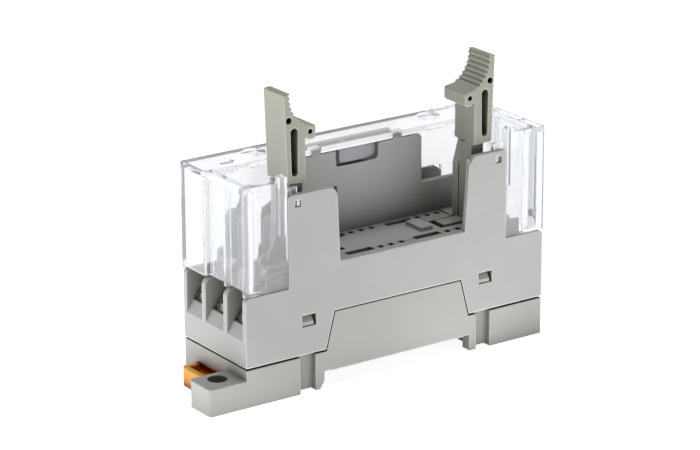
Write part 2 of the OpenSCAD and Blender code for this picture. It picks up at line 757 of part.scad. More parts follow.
// Rail slider with its hook, guide flanges, spring loops and scooped grip
module rail_slider() {
    w = slider_w / 2;
    tip = -seat_x + hook_reach;
    grip_in = -base_end - 0.3 - slide_travel * 0;
    color(slider_orange) difference() {
        union() {
            block([-slider_end, -seat_x - 0.3], [slider_y - w, slider_y + w], [foot_z + 0.05, -0.3]);
            block([-slider_end, grip_in], [slider_y - w, slider_y + w], [foot_z + 0.05, slider_top]);
            block([-base_end + 1, -block_in - 1 - 0.6], [slider_y - w - slider_flange,
                slider_y + w + slider_flange], [foot_z + 1.2, foot_z + 2.2]);
            xz(slider_y - w, slider_y + w) polygon([
                [-seat_x - 0.5, foot_z + 0.05], [tip - 0.7, foot_z + 0.05], [tip, foot_z + 0.9],
                [tip, hook_z - 0.3], [tip - 0.3, hook_z], [-seat_x - 0.5, hook_z]
            ]);
        }
        for (s = [-1, 1]) block([-33, -21.5], [slider_y + s * (w - 2.6) - 0.8, slider_y + s * (w - 2.6) + 0.8],
            [foot_z - 1, 1]);
        block([-31, -23.5], [slider_y - 1.3, slider_y + 1.3], [foot_z - 1, 1]);
        translate([-base_end - 0.2, slider_y, slider_top + 1.6]) rotate([90, 0, 0])
            cylinder(r = 3, h = slider_w - 2.4, center = true);
        translate([0, 0, foot_z - 1]) linear_extrude(slider_top - foot_z + 2)
            for (s = [-1, 1]) corner([-slider_end, slider_y + s * w], slider_round, -1, s);
    }
}

// Small translucent window in the pocket of the bay's back wall
module indicator_lens() {
    color([0.8, 0.8, 0.82, 0.6]) xz(bay_back + 0.25, bay_back + wall) difference() {
        rect([lens_x[0], lens_x[1]], [back_z - pocket_d + 0.6, back_z - 0.15]);
        corner([lens_x[0], back_z - pocket_d + 0.6], 0.8, -1, -1);
        corner([lens_x[1], back_z - pocket_d + 0.6], 0.8, 1, -1);
    }
}

module indicator_led() {
    y0 = bay_back + wall + 0.1;
    color([0.85, 0.83, 0.78, 0.6]) translate([led_x, y0, led_z]) rotate([-90, 0, 0]) {
        cylinder(r = led_r, h = board_y - y0 - 0.3);
        translate([0, 0, board_y - y0 - 0.9]) cylinder(r = led_r + 0.1, h = 0.9);
    }
}

module indicator_board() {
    color(board_green) block([-board_x, board_x], [board_y, board_y + board_t],
        [channel_floor, back_z - 0.2]);
}

// A small part with axial leads, soldered flat to the board at height z
module axial_part(x, z, r, l) {
    lead_r = 0.3;
    y = board_y - r - 0.05;
    translate([x - l / 2, y, z]) rotate([0, 90, 0]) cylinder(r = r, h = l);
    translate([x - l / 2 - 1.2, y, z]) rotate([0, 90, 0]) cylinder(r = lead_r, h = l + 2.4);
    for (s = [-1, 1]) block([x + s * (l / 2 + 1) - 0.35, x + s * (l / 2 + 1) + 0.35],
        [y - lead_r - 0.1, board_y], [z - 0.35, z + 0.35]);
}

module resistor() { color([0.35, 0.5, 0.65]) axial_part(-5.2, 29, 0.27 * (board_y - bay_back - wall), 4.6); }

module surge_diode() { color([0.15, 0.15, 0.16]) axial_part(5.2, 29, 0.3 * (board_y - bay_back - wall), 4.2); }

// Opening in the top of one end of the cover, for the lever to swing into
module cover_opening(x0) {
    x1 = end_x + 0.15 - 1.5;
    difference() {
        rect([x0, x1], [front + cover_wall, front + 13.9]);
        corner([x1, front + cover_wall], cover_round, 1, -1);
    }
}

// One end of the clear cover, drawn on the right. x0 is the tower's outer edge, cx its clip window.
module cover_end(x0, cx) {
    x_in = x0 + cover_gap;
    x_out = end_x + 0.15;
    z0 = shoulder_z + cover_gap;
    fin_z = z0 + 0.45;
    z1 = cover_z - cover_t;
    // Top rim round the opening, and the front wall with its raised tab
    translate([0, 0, z1]) linear_extrude(cover_t) difference() {
        rect([x_in, x_out], [front, bay_back - 0.1 + eps]);
        cover_opening(x_in - 1);
    }
    difference() {
        xz(front, front + cover_wall) difference() {
            union() {
                rect([x_in, x_out], [z0, cover_z]);
                rect([x_in, x0 + 2.3], [z0, cover_z + 0.9]);
            }
            corner([x_out, cover_z], 0.5, 1, 1);
        }
    }
    // Recessed end panel between the fins, and the flush part of the end wall
    block([x_out - cover_in, x_out - cover_in + 0.8], [front + eps, front + 14.5], [fin_z, cover_z - eps]);
    translate([0, 0, fin_z]) linear_extrude(z1 - fin_z + eps)
        corner([x_out - cover_in, front + cover_wall], cover_round, 1, -1);
    block([x_out - cover_wall, x_out], [front + 14.4, back], [fin_z, cover_z]);
    block([x_out - 2.8, x_out], [front + 14.4, front + 15.2], [fin_z, cover_z - eps]);
    block([x_out - 1.5, x_out], [front + 6.5, front + 7.3], [fin_z + 0.1, cover_z - eps]);
    // Spine beside the tower, and the clip that hooks into the tower's window
    block([x_in, x_in + 1.2], [front + cover_wall - eps, in_front + 0.8], [tower_z - 8, cover_z + 0.9]);
    block([cx - 0.6, x_in + eps], [in_front + 0.1, in_front + 0.8], [tower_z + cover_gap, tower_z + 1.25]);
    block([cx - 0.6, cx + 0.6], [in_front + 0.1, in_front + 0.8], [clip_z - 0.55, tower_z + 0.5]);
    block([cx - 0.6, cx + 0.6], [front + 0.3, in_front + 0.2], [clip_z - 0.55, clip_z + 0.35]);
}

module terminal_cover() {
    x_out = end_x + 0.15;
    strip_y = bay_back - 0.1;
    color(clear_plastic) difference() {
        union() {
            block([-x_out, x_out], [strip_y, back], [cover_z - cover_t, cover_z]);
            block([-x_out, x_out], [back - cover_wall, back], [rear_z + cover_gap, cover_z]);
            for (s = [-1, 1]) block([min(s * x_out, s * (rear_x + cover_gap)),
                max(s * x_out, s * (rear_x + cover_gap))], [back - cover_wall, back],
                [shoulder_z + cover_gap, cover_z]);
            cover_end(tower_r, clip_x[1]);
            mirror([1, 0, 0]) cover_end(tower_l, -clip_x[0]);
        }
        for (s = [-1, 1]) {
            translate([s * cover_bore[0], front + cover_bore[1], cover_z - 0.7])
                cylinder(r = cover_bore[2], h = 2);
            block([s * cover_slot_x - 1.2, s * cover_slot_x + 1.2],
                [bay_back - 0.05, bay_back + wall + 0.3], [cover_z - cover_t - 1, cover_z + 1]);
            block([s * cover_notch_x - 1.6, s * cover_notch_x + 1.6],
                [front + cover_notch_y[0], front + cover_notch_y[1]], [cover_z - cover_t - 1, cover_z + 1]);
        }
    }
}

base();
case();
contact_block();
terminal_cover();
lever_left();
lever_right();
rail_slider();
indicator_lens();
indicator_led();
indicator_board();
resistor();
surge_diode();
for (i = [0:9]) {
    terminal_place(i) contact_strip(CONTACTS[i % 5]);
    terminal_place(i) clamp_plate(CONTACTS[i % 5]);
    terminal_place(i) screw(CONTACTS[i % 5]);
}
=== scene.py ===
"""Finish and studio of a relay socket for a mounting rail, dressed around its CAD model."""

import math

import bmesh
import bpy
from bpy.props import FloatProperty, FloatVectorProperty, IntProperty, PointerProperty
from bpy.types import Operator, Panel, PropertyGroup
from mathutils import Matrix, Vector


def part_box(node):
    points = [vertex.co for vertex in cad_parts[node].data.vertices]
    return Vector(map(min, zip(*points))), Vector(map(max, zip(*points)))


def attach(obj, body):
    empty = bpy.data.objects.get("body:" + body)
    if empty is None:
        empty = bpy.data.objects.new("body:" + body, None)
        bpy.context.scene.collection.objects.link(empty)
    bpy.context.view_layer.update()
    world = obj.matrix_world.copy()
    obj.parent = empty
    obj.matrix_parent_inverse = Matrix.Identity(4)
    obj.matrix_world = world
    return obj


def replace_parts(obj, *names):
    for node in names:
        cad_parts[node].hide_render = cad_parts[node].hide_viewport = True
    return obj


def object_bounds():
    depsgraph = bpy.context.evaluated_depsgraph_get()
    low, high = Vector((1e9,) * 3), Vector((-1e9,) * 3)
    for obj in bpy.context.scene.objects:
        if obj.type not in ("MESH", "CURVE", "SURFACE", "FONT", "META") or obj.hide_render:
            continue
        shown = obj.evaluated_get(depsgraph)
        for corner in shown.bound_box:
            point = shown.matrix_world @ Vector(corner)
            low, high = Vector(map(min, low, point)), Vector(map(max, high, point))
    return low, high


bl_info = {
    "name": "Relay Socket Finish",
    "version": (1, 0, 0),
    "blender": (4, 5, 0),
    "location": "3D View > Sidebar > Relay Socket",
    "description": "Gives a rail-mounted relay socket its plastics, metals and studio",
    "category": "Object",
}

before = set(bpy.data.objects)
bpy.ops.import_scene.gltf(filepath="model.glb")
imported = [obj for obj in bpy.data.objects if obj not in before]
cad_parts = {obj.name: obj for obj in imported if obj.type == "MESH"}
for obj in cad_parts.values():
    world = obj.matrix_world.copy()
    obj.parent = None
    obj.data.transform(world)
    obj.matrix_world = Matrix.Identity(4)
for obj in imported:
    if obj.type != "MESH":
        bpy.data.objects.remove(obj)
CAD_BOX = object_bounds()

MM = 0.001
HOUSING = "housing"
TERMINALS = range(1, 11)

# Camera at the photograph's angle: where it stands, two of its axes, and its lens in millimetres
CAMERA_AT = Vector((-0.340482, -0.488620, 0.226925))
CAMERA_RIGHT = Vector((0.822718, -0.568438, -0.003677))
CAMERA_UP = Vector((0.186313, 0.263534, 0.946487))
CAMERA_LENS = 162.4
CAMERA_SENSOR = 36
CAMERA_NEAR = 0.01

# How strong the light is round the compass, eighth by eighth from +X turning towards +Y
TABLE_RING = (0.15, 0.15, 0.4, 1.95, 2.4, 1.15, 1.45, 2.1)
ROOM_RING = (0, 0, 0, 0.5, 0.1, 0, 0, 0)
# Heights on the room's walls between which their light fades out, as sines of the angle
ROOM_DARK, ROOM_LIT = 0.5, 0.36
TABLE_GAP = 0.05 * MM
# Distances out from the object's box at which the table's light starts and is full
GLOW_STARTS, GLOW_FULL = -4 * MM, 2 * MM
# Middle of one fixing hole, with the other opposite it, and the radii in which the table
# under them is painted dark as shade and over which it turns white
HOLE_AT = Vector((-39.675, -6.775, 0)) * MM
HOLE_SHADE_RADIUS, HOLE_SHADE_EDGE = 2.2 * MM, 2.6 * MM
# Strength of the white that the eye sees on the table
TABLE_WHITE = 0.9
# The key lamp: where it hangs, what it points at, and its side
KEY_AT, KEY_TOWARD, KEY_SIDE = (0, 0, 0.7), (0, 0, 0.02), 0.5

# Painted shade: shares of red, green and blue left in a plastic's hollows and in its
# narrow pockets, where shade falls
DENSE_HOLLOW_SHADE, DENSE_POCKET_SHADE = (0.45, 0.42, 0.38), (0.11, 0.1, 0.06)
WAXY_HOLLOW_SHADE, WAXY_POCKET_SHADE = (0.8, 0.45, 0.15), (0.6, 0.2, 0.05)
# Openness at which the painted shade of a hollow is darkest and at which it ends
HOLLOW_DEEP, HOLLOW_END = 0.18, 0.72
# Openness over which the painted highlight on the rim comes in, and how many times paler
# than the face it is
RIM_START, RIM_FULL, RIM_HIGHLIGHT = 0.6, 0.85, 2.1

# Cosines of the angle between a face and its rounded edge, where the edge begins and is full
EDGE_BEGINS, EDGE_FULL = 0.995, 0.82
EDGE_SAMPLES = 6
OPENNESS_SAMPLES = 8
# Noise keeps to its middle: these values span most of it
NOISE_LOW, NOISE_HIGH = 0.3, 0.7
# Sockets of a Mix node that is set to colours; its kinds share their names
MIX_FACTOR, MIX_FIRST, MIX_SECOND, MIX_RESULT = 0, 6, 7, 2

# Upward part of the normal of the cover's level and upright walls
LEVEL, UPRIGHT = 0.8, 0.3
# Share of the veil that stays on level walls, and where a ray has met many walls
LEVEL_VEIL, LATE_VEIL = 0.15, 0.3
# Walls met before the veil begins to thin and after it has thinned
VEIL_THINS, VEIL_THIN = 0.5, 3.5
# What the cover leaves of the lamps' light
COVER_SHADOW = (0.95, 0.96, 0.975)

# Grain of the plastics: flow marks and specks, and the depth of the mould's grain
FLOW_WIDTH, SPECK_WIDTH, GRAIN_DEPTH = 9 * MM, 0.9 * MM, 0.02 * MM
# Copper tracks on the board: how many to a metre along and up it, and their gap
TRACKS_ALONG, TRACKS_UP, TRACKS_GAP = 260, 420, 0.09

# The lamp from its back to its dome, in millimetres: distance on, and step from the flange
LAMP_FOOT = ((0.0, -0.05), (0.06, 0.0), (0.8, 0.0), (0.84, -0.1))
LAMP_DOME = range(0, 81, 8)
# Gaps that the lamp keeps to its box at its back and tip, and its wires' way from its middle
LAMP_BACK_GAP, LAMP_TIP_GAP, LAMP_LEG_OUT = 0.05 * MM, 0.03 * MM, 0.62 * MM
# How far a wire reaches into the lamp, into the resistor or diode, and into the board
WIRE_IN_LAMP, WIRE_IN_BODY, WIRE_IN_BOARD = 0.02 * MM, 0.1 * MM, 0.5 * MM
# Resistor and diode: room for the wire at each end, where it turns down, and its bend
WIRE_ROOM, WIRE_OUT, WIRE_BEND = 1.2 * MM, 0.85 * MM, 0.45 * MM
# Their outlines: 0 at the end and 1 half way to the middle, and the share of the full radius
RESISTOR_OUTLINE = ((0.0, 0.5), (0.12, 0.86), (0.35, 1.0), (0.75, 1.0), (1.0, 0.86))
DIODE_OUTLINE = ((0.0, 0.86), (0.1, 1.0), (1.0, 1.0))
# Solder on a wire: height over the board in millimetres, and radius for a wire of radius 1
SOLDER = ((-0.05, 3.0), (0.0, 3.0), (0.1, 2.1), (0.3, 1.4), (0.55, 1.02))
# Sides of turned bodies, of solder and of wires, and the angle of a sharp edge in degrees
BODY_SIDES, SOLDER_SIDES, WIRE_SIDES = 40, 28, 12
SHARP_ANGLE = 38


def linear(*rgb):
    """A colour picked as 0 to 255 screen values, as the linear values that shaders take."""
    out = []
    for value in rgb:
        v = value / 255
        out.append(v / 12.92 if v <= 0.04045 else ((v + 0.055) / 1.055) ** 2.4)
    return tuple(out)


# Rings on the resistor and the diode: distance from the middle, half width and colour
RESISTOR_BANDS = (
    (-1.3 * MM, 0.2 * MM, linear(60, 40, 34)),
    (-0.6 * MM, 0.2 * MM, linear(34, 34, 36)),
    (0.1 * MM, 0.2 * MM, linear(150, 60, 34)),
    (1.2 * MM, 0.2 * MM, linear(168, 134, 62)),
)
DIODE_BANDS = ((-1.45 * MM, 0.32 * MM, linear(196, 196, 196)),)
COPPER_EDGE = linear(190, 182, 138)
TINNED = linear(186, 186, 184)
BLACK_EPOXY = linear(44, 44, 47)


def colour_property(name, description, rgb):
    return FloatVectorProperty(
        name=name,
        description=description,
        subtype="COLOR",
        size=3,
        min=0,
        max=1,
        default=linear(*rgb),
    )


def length_property(name, description, millimetres):
    return FloatProperty(
        name=name,
        description=description,
        default=millimetres * MM,
        min=0,
        unit="LENGTH",
        precision=5,
    )


# ---- Sizes and colours that a user would change


class PlasticLook(PropertyGroup):
    housing_colour: colour_property(
        "Upper housing", "Moulded plastic of the upper housing", (190, 190, 189)
    )
    base_colour: colour_property(
        "Rail foot", "Moulded plastic of the lower housing", (187, 187, 184)
    )
    lever_colour: colour_property(
        "Ejector levers", "Olive grey plastic of the two levers", (173, 173, 161)
    )
    slider_colour: colour_property(
        "Rail slider", "Orange plastic of the slider that grips the rail", (255, 188, 82)
    )
    edge_radius: length_property(
        "Edge radius", "Rounding that the mould leaves on every edge", 0.42
    )
    grain_size: length_property(
        "Grain size", "Width of the spark-eroded grain in the mould", 0.3
    )
    # Painted highlight: how much paler the rounded outer edges are painted than the faces
    rim: FloatProperty(
        name="Rim",
        description="How much paler the rounded outer edges are than the faces",
        subtype="FACTOR",
        default=0.9,
        min=0,
        max=1,
    )
    # Painted shade: width of the deep recesses that are painted a little darker and warmer
    hollow: length_property(
        "Hollow", "Width of the deep recesses that are a little darker and warmer", 14.0
    )
    # Painted shade: how far into a gap or bore the plastic is painted dark
    crevice: length_property(
        "Crevice depth", "How far into a gap or bore the plastic turns dark", 2.4
    )
    roughness: FloatProperty(
        name="Roughness",
        description="Roughness of the moulded surfaces",
        subtype="FACTOR",
        default=0.52,
        min=0,
        max=1,
    )


class CoverLook(PropertyGroup):
    tint: colour_property(
        "Tint", "Colour that light keeps after a long way in the plastic", (150, 180, 226)
    )
    frost: colour_property(
        "Window", "Milky plastic of the indicator's window", (214, 214, 221)
    )
    density: FloatProperty(
        name="Density",
        description="How fast the plastic takes on its tint, per metre",
        default=1.5,
        min=0,
    )
    bends: IntProperty(
        name="Bends",
        description="How many surfaces bend a ray before it goes straight on",
        default=5,
        min=0,
    )
    haze: FloatProperty(
        name="Haze",
        description="Share of the light that the polished walls scatter",
        subtype="FACTOR",
        default=0.18,
        min=0,
        max=1,
    )
    index: FloatProperty(
        name="Refractive index",
        description="Refractive index of clear polycarbonate",
        default=1.585,
        min=1,
        max=2,
    )
    veil_colour: colour_property(
        "Veil colour", "Colour of the faint milky veil on the upright walls", (246, 249, 255)
    )
    # Painted shade: the blue-grey along every edge stands in for the darkening that refraction
    # gives there
    edge_shade_colour: colour_property(
        "Edge colour", "Blue-grey that shows along every edge", (184, 189, 220)
    )
    edge_width: length_property(
        "Edge width", "Width of the lines along the edges", 0.22
    )
    edge_strength: FloatProperty(
        name="Edge strength",
        description="How strongly the edges take on their colour",
        subtype="FACTOR",
        default=0.8,
        min=0,
        max=1,
    )


class MetalLook(PropertyGroup):
    brass_colour: colour_property(
        "Contacts", "Tinned spring brass of the contacts", (196, 182, 142)
    )
    steel_colour: colour_property(
        "Screws", "Plated steel of the screws and clamps", (150, 148, 142)
    )
    scratch_width: length_property(
        "Scratch width", "Width of the fine drawing marks on the metal", 0.12
    )


class CircuitLook(PropertyGroup):
    board_colour: colour_property(
        "Board", "Solder mask of the indicator's circuit board", (46, 104, 70)
    )
    lamp_colour: colour_property(
        "Lamp", "Clear resin of the unlit indicator lamp", (214, 216, 222)
    )
    resistor_colour: colour_property(
        "Resistor", "Enamel of the series resistor", (118, 150, 176)
    )
    lead_radius: length_property(
        "Lead radius", "Radius of the parts' wire leads", 0.22
    )


class StudioLook(PropertyGroup):
    floor_side: length_property("Floor side", "Side of the square floor", 6000)
    table_light: FloatProperty(
        name="Table light",
        description="Light that the white table throws up at the object",
        default=1.0,
        min=0,
    )
    room_light: FloatProperty(
        name="Room light",
        description="Light that comes from the room's walls",
        default=1.0,
        min=0,
    )
    key_power: FloatProperty(
        name="Key lamp",
        description="Power of the soft lamp above the object",
        subtype="POWER",
        unit="POWER",
        default=2.2,
        min=0,
    )


# ---- Materials


class Finish:
    """One material and its nodes, in the short calls that this object's finishes share."""

    def __init__(self, name="", tree=None):
        if tree is None:
            self.material = bpy.data.materials.new(name)
            self.material.use_nodes = True
        self.tree = tree or self.material.node_tree
        self.tree.nodes.clear()
        self.output = self.add("OutputWorld" if tree else "OutputMaterial")
        self.place = self.add("TexCoord").outputs["Object"]

    def add(self, kind, **settings):
        """A new node with its settings."""
        node = self.tree.nodes.new("ShaderNode" + kind)
        for key, value in settings.items():
            setattr(node, key, value)
        return node

    def feed(self, socket, value):
        """Links a socket, or sets a plain value, on an input."""
        if isinstance(value, bpy.types.NodeSocket):
            self.tree.links.new(value, socket)
        elif socket.type == "RGBA" and len(value) == 3:
            socket.default_value = (*value, 1)
        else:
            socket.default_value = value
        return socket

    def show(self, shader):
        """Puts a shader on the surface."""
        self.feed(self.output.inputs["Surface"], shader)

    def stretched(self, factors):
        """The object's coordinates, scaled apart on each axis."""
        node = self.add("Mapping")
        self.feed(node.inputs["Vector"], self.place)
        node.inputs["Scale"].default_value = factors
        return node.outputs["Vector"]

    def noise(self, width, detail=2.0, place=None):
        """Noise with patches about as wide as width, from 0 to 1."""
        node = self.add("TexNoise")
        self.feed(node.inputs["Vector"], place or self.place)
        node.inputs["Scale"].default_value = 1 / width
        node.inputs["Detail"].default_value = detail
        return node.outputs["Fac"]

    def span(self, value, low, high, to_low=0.0, to_high=1.0):
        """Maps a value from one range to another, held at both ends."""
        node = self.add("MapRange")
        self.feed(node.inputs["Value"], value)
        for name, number in zip(
            ("From Min", "From Max", "To Min", "To Max"),
            (low, high, to_low, to_high),
            strict=True,
        ):
            node.inputs[name].default_value = number
        return node.outputs["Result"]

    def spread(self, noise, to_low=0.0, to_high=1.0):
        """Maps the middle values of a noise to a whole range."""
        return self.span(noise, NOISE_LOW, NOISE_HIGH, to_low, to_high)

    def mix(self, factor, first, second):
        """Two colours mixed: factor 0 is the first, 1 the second."""
        node = self.add("Mix", data_type="RGBA")
        self.feed(node.inputs[MIX_FACTOR], factor)
        self.feed(node.inputs[MIX_FIRST], first)
        self.feed(node.inputs[MIX_SECOND], second)
        return node.outputs[MIX_RESULT]

    def blend(self, factor, first, second):
        """Two shaders mixed: factor 0 is the first, 1 the second."""
        node = self.add("MixShader")
        self.feed(node.inputs[0], factor)
        self.feed(node.inputs[1], first)
        self.feed(node.inputs[2], second)
        return node.outputs[0]

    def maths(self, operation, first, second=None):
        """One step of arithmetic on one or two values."""
        node = self.add("Math", operation=operation)
        self.feed(node.inputs[0], first)
        if second is not None:
            self.feed(node.inputs[1], second)
        return node.outputs[0]

    def split(self, vector, axis):
        """The X, Y or Z part of a vector."""
        node = self.add("SeparateXYZ")
        self.feed(node.inputs[0], vector)
        return node.outputs[axis]

    def compass(self, place, ring, strength):
        """A strength that goes round the Z axis through the values of ring, from +X towards +Y."""
        turn = self.maths("ARCTAN2", self.split(place, "Y"), self.split(place, "X"))
        ramp = self.add("ValToRGB")
        self.feed(ramp.inputs[0], self.span(turn, -math.pi, math.pi))
        stops = ramp.color_ramp.elements
        steps = len(ring)
        top = max(ring) or 1.0
        while len(stops) <= steps:
            stops.new(1.0)
        for i in range(steps + 1):
            value = ring[(i + steps // 2) % steps] / top
            stops[i].position = i / steps
            stops[i].color = (value, value, value, 1)
        return self.maths("MULTIPLY", ramp.outputs["Color"], top * strength)

    def rounded(self, radius):
        """The normal of edges rounded to radius, and a mask that is 1 on those edges."""
        bevel = self.add("Bevel", samples=EDGE_SAMPLES)
        bevel.inputs["Radius"].default_value = radius
        cosine = self.add("VectorMath", operation="DOT_PRODUCT")
        self.feed(cosine.inputs[0], bevel.outputs["Normal"])
        self.feed(cosine.inputs[1], self.add("NewGeometry").outputs["True Normal"])
        edge = self.span(cosine.outputs["Value"], EDGE_BEGINS, EDGE_FULL)
        return bevel.outputs["Normal"], edge

    def openness(self, reach):
        """1 in the open and less, down to 0, inside gaps and bores narrower than reach."""
        node = self.add("AmbientOcclusion", samples=OPENNESS_SAMPLES)
        node.inputs["Distance"].default_value = reach
        return node.outputs["AO"]

    def bump(self, height, distance, strength, normal=None):
        """A normal that stands out by distance where height is 1."""
        node = self.add("Bump")
        node.inputs["Strength"].default_value = strength
        node.inputs["Distance"].default_value = distance
        self.feed(node.inputs["Height"], height)
        if normal is not None:
            self.feed(node.inputs["Normal"], normal)
        return node.outputs["Normal"]

    def seen(self):
        """1 for rays from the eye, a reflection or through glass, 0 for those that carry light."""
        rays = self.add("LightPath")
        reflected = rays.outputs["Is Glossy Ray"]
        refracted = rays.outputs["Is Transmission Ray"]
        indirect = self.maths("MAXIMUM", reflected, refracted)
        return self.maths("MAXIMUM", rays.outputs["Is Camera Ray"], indirect)

    def surface(self, **values):
        """A Principled shader on the output, with its inputs by name."""
        node = self.add("BsdfPrincipled")
        for key, value in values.items():
            self.feed(node.inputs[key.replace("_", " ")], value)
        self.show(node.outputs["BSDF"])
        return node


def shade(colour, factor):
    """A colour made darker or paler by a factor."""
    return tuple(min(1.0, part * factor) for part in colour)


def tinge(colour, shares):
    """A colour of which each part keeps its own share."""
    return tuple(part * share for part, share in zip(colour, shares, strict=True))


def moulded_plastic(name, colour, look, waxy=0.0, shadow=0.5):
    """Grained plastic straight from the mould, with a painted highlight along its rounded edges.

    It has painted shade: warmer and darker in hollows, and dark where a place is less open
    than shadow, as the narrow slots and bores are. A waxy plastic lets some light through.
    """
    finish = Finish(name)
    normal, edge = finish.rounded(look.edge_radius)
    flow = finish.noise(FLOW_WIDTH, 3.0)
    grain = finish.noise(look.grain_size, 3.0)
    specks = finish.noise(SPECK_WIDTH, 1.0)
    body = finish.mix(finish.spread(flow), shade(colour, 0.975), shade(colour, 1.02))
    body = finish.mix(finish.span(specks, 0.66, 0.8, 0, 0.35), body, shade(colour, 0.93))
    # Painted shade: deep recesses take a darker, warmer copy of the colour
    around = finish.openness(look.hollow)
    hollow_shade = tinge(colour, WAXY_HOLLOW_SHADE if waxy else DENSE_HOLLOW_SHADE)
    body = finish.mix(finish.span(around, HOLLOW_DEEP, HOLLOW_END), hollow_shade, body)
    # Painted shade: slots, gaps and bores less open than shadow are painted dark
    space = finish.openness(look.crevice)
    pocket_shade = tinge(colour, WAXY_POCKET_SHADE if waxy else DENSE_POCKET_SHADE)
    tint = finish.mix(finish.span(space, shadow - 0.4, shadow), pocket_shade, body)
    # Painted highlight: open rounded edges are painted paler, as where they catch the light
    open_highlight = finish.span(space, RIM_START, RIM_FULL, 0, look.rim)
    rim = finish.maths("MULTIPLY", edge, open_highlight)
    finish.surface(
        Base_Color=finish.mix(rim, tint, shade(colour, RIM_HIGHLIGHT)),
        Roughness=finish.spread(grain, look.roughness - 0.07, look.roughness + 0.07),
        Normal=finish.bump(grain, GRAIN_DEPTH, 0.35, normal),
        Specular_IOR_Level=0.34,
        Subsurface_Weight=waxy,
        Subsurface_Radius=(1.0, 0.9, 0.7),
        Subsurface_Scale=0.6 * MM,
    )
    return finish.material


def clear_plastic(name, look):
    """Clear polycarbonate with painted blue-grey shade along its edges and a faint milky veil.

    The lamps' light goes straight through it, and so does a ray that it has bent often.
    """
    finish = Finish(name)
    # Painted shade: blue-grey lines along the edges stand in for the darkening that refraction
    # gives there
    _, edge = finish.rounded(look.edge_width)
    edge_shade = finish.span(edge, 0, 1, 0, look.edge_strength)
    glass = finish.surface(
        Base_Color=finish.mix(edge_shade, (1.0, 1.0, 1.0), look.edge_shade_colour),
        Roughness=0.0,
        IOR=look.index,
        Transmission_Weight=1.0,
    )
    veil = finish.add("BsdfDiffuse")
    veil.inputs["Color"].default_value = (*look.veil_colour, 1)
    upward = finish.split(finish.add("NewGeometry").outputs["True Normal"], "Z")
    milky = finish.span(
        finish.maths("ABSOLUTE", upward), LEVEL, UPRIGHT, LEVEL_VEIL * look.haze, look.haze
    )
    rays = finish.add("LightPath")
    fading = finish.span(rays.outputs["Ray Depth"], VEIL_THINS, VEIL_THIN, 1.0, LATE_VEIL)
    body = finish.blend(
        finish.maths("MULTIPLY", milky, fading), glass.outputs[0], veil.outputs[0]
    )
    through = finish.add("BsdfTransparent")
    through.inputs["Color"].default_value = (*COVER_SHADOW, 1)
    lighting = finish.maths(
        "MAXIMUM", rays.outputs["Is Shadow Ray"], rays.outputs["Is Diffuse Ray"]
    )
    late = finish.maths("GREATER_THAN", rays.outputs["Ray Depth"], look.bends)
    straight = finish.maths("MAXIMUM", lighting, late)
    finish.show(finish.blend(straight, body, through.outputs[0]))
    inside = finish.add("VolumeAbsorption")
    inside.inputs["Color"].default_value = (*look.tint, 1)
    inside.inputs["Density"].default_value = look.density
    finish.feed(finish.output.inputs["Volume"], inside.outputs["Volume"])
    return finish.material


def frosted_plastic(name, look):
    """Milky plastic of the indicator's window, which hides what lies behind it."""
    finish = Finish(name)
    cloud = finish.noise(0.8 * MM, 2.0)
    normal, _ = finish.rounded(0.2 * MM)
    finish.surface(
        Base_Color=finish.mix(cloud, look.frost, shade(look.frost, 0.94)),
        Roughness=finish.spread(cloud, 0.14, 0.22),
        Transmission_Weight=0.35,
        IOR=look.index,
        Normal=normal,
        Subsurface_Weight=0.3,
        Subsurface_Radius=(1.0, 1.0, 1.0),
        Subsurface_Scale=0.8 * MM,
    )
    return finish.material


def plated_metal(name, colour, look, roughness=0.34, tarnish=0.25):
    """Drawn and plated metal with fine marks along its length and duller patches."""
    finish = Finish(name)
    normal, edge = finish.rounded(0.08 * MM)
    marks = finish.noise(look.scratch_width, 4.0, finish.stretched((0.18, 1, 1)))
    patches = finish.noise(1.6 * MM, 3.0)
    dull = finish.span(patches, 0.42, 0.68, 0, tarnish)
    body = finish.mix(dull, colour, shade(colour, 0.55))
    # Painted highlight: the rounded edges are painted paler
    tint = finish.mix(finish.span(edge, 0, 1, 0, 0.6), body, shade(colour, 1.25))
    finish.surface(
        Base_Color=tint,
        Metallic=1.0,
        Roughness=finish.spread(marks, roughness - 0.08, roughness + 0.12),
        Normal=finish.bump(marks, 0.01 * MM, 0.4, normal),
    )
    return finish.material


def solder_mask(name, colour):
    """Green lacquer over copper tracks that run along the board."""
    finish = Finish(name)
    normal, edge = finish.rounded(0.06 * MM)
    upright = finish.add("VectorRotate", rotation_type="X_AXIS")
    upright.inputs["Angle"].default_value = math.radians(90)
    place = finish.stretched((TRACKS_ALONG, TRACKS_ALONG, TRACKS_UP))
    finish.feed(upright.inputs["Vector"], place)
    tracks = finish.add("TexBrick", offset=0.5)
    finish.feed(tracks.inputs["Vector"], upright.outputs["Vector"])
    tracks.inputs["Mortar Size"].default_value = TRACKS_GAP
    weave = finish.noise(0.25 * MM, 2.0)
    body = finish.mix(tracks.outputs["Fac"], shade(colour, 1.35), shade(colour, 0.85))
    body = finish.mix(finish.span(weave, 0.35, 0.65, 0, 0.3), body, shade(colour, 0.7))
    finish.surface(
        Base_Color=finish.mix(edge, body, COPPER_EDGE),
        Roughness=finish.spread(weave, 0.3, 0.42),
        Normal=finish.bump(tracks.outputs["Fac"], 0.03 * MM, 0.5, normal),
        Coat_Weight=0.3,
    )
    return finish.material


